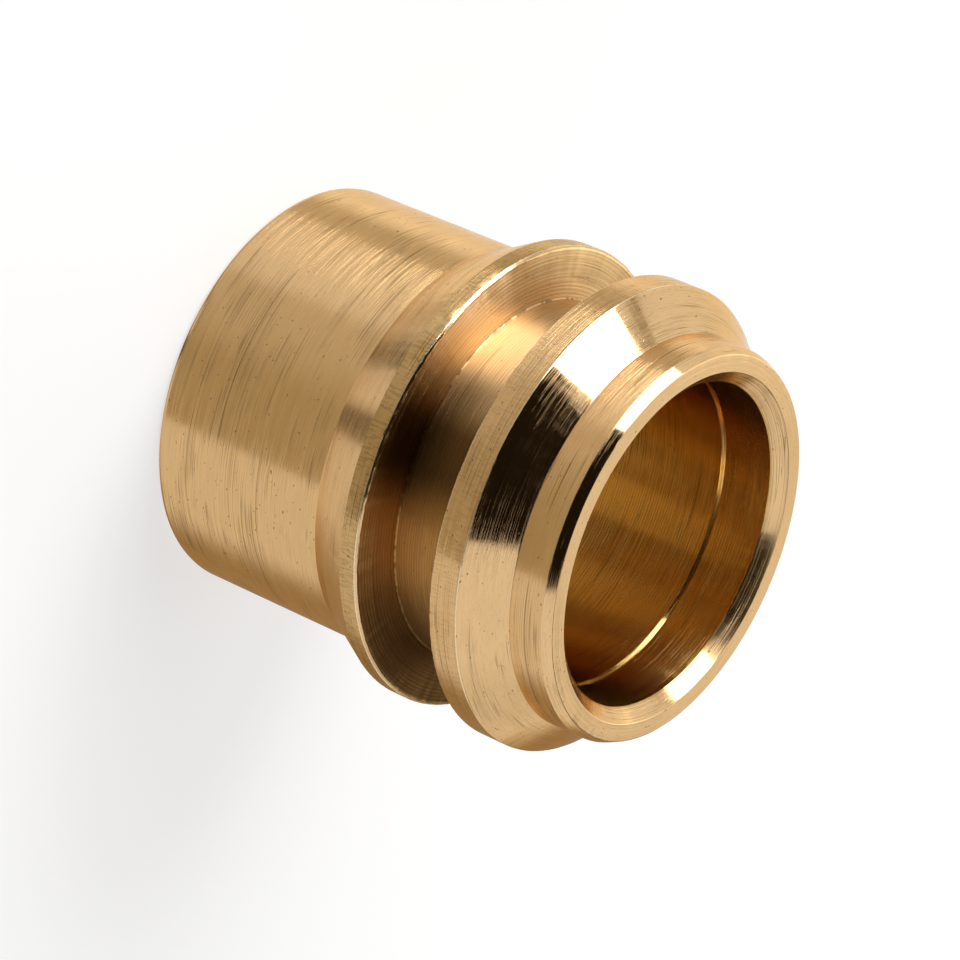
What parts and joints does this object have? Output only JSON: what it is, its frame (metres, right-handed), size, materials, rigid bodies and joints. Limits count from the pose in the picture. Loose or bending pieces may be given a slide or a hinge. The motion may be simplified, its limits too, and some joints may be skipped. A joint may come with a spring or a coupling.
{
  "type": "turned sleeve",
  "caption": "Turned brass sleeve with a through bore, two raised collars either side of a deep square groove, a flare behind them and a cone and straight nose in front.",
  "frame": {"origin": "centre of the plain tail face, which the sleeve stands on", "axes": "+Z along the turning axis, from the tail towards the nose; X and Y are alike"},
  "size_m": [0.025, 0.025, 0.0253],
  "materials": {
    "brass": "fine turned, bare metal"
  },
  "bodies": {
    "root": {"turned_sleeve": "brass"}
  },
  "joints": []
}
